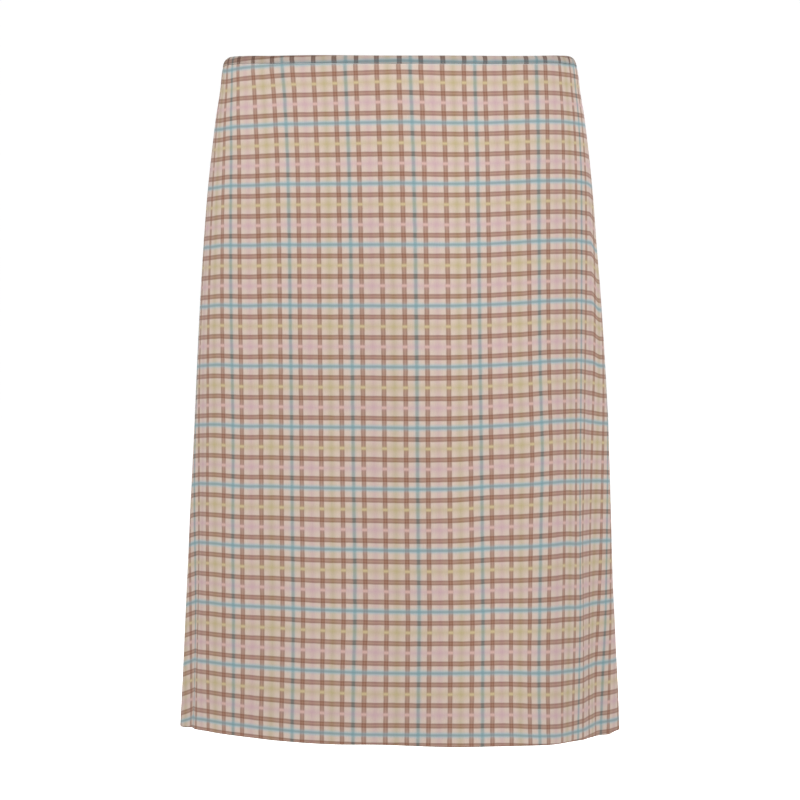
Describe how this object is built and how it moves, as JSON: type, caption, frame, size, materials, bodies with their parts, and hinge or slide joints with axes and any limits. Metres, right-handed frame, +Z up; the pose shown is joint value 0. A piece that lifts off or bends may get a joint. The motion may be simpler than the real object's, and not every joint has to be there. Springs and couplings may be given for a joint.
{
  "type": "midi skirt",
  "caption": "Pull-on A-line midi skirt in a pastel check, worn but empty, with an elasticated turned waist edge and a narrow turned hem.",
  "frame": {"origin": "middle of the waist opening, level with its top edge, where the wearer's waist holds the skirt", "axes": "+Z up, -Y the front of the skirt, +X to the right of a front view"},
  "size_m": [0.4495, 0.3, 0.6885],
  "materials": {
    "check_cloth": "light woven crepe with a printed-look pastel check of blue, brown, yellow and pink lines on pale pink-beige",
    "gathered_edge": "the same check cloth turned in over narrow elastic, slightly gathered"
  },
  "bodies": {
    "root": {"front_panel": "check_cloth", "back_panel": "check_cloth", "waist_edge": "gathered_edge"}
  },
  "joints": []
}
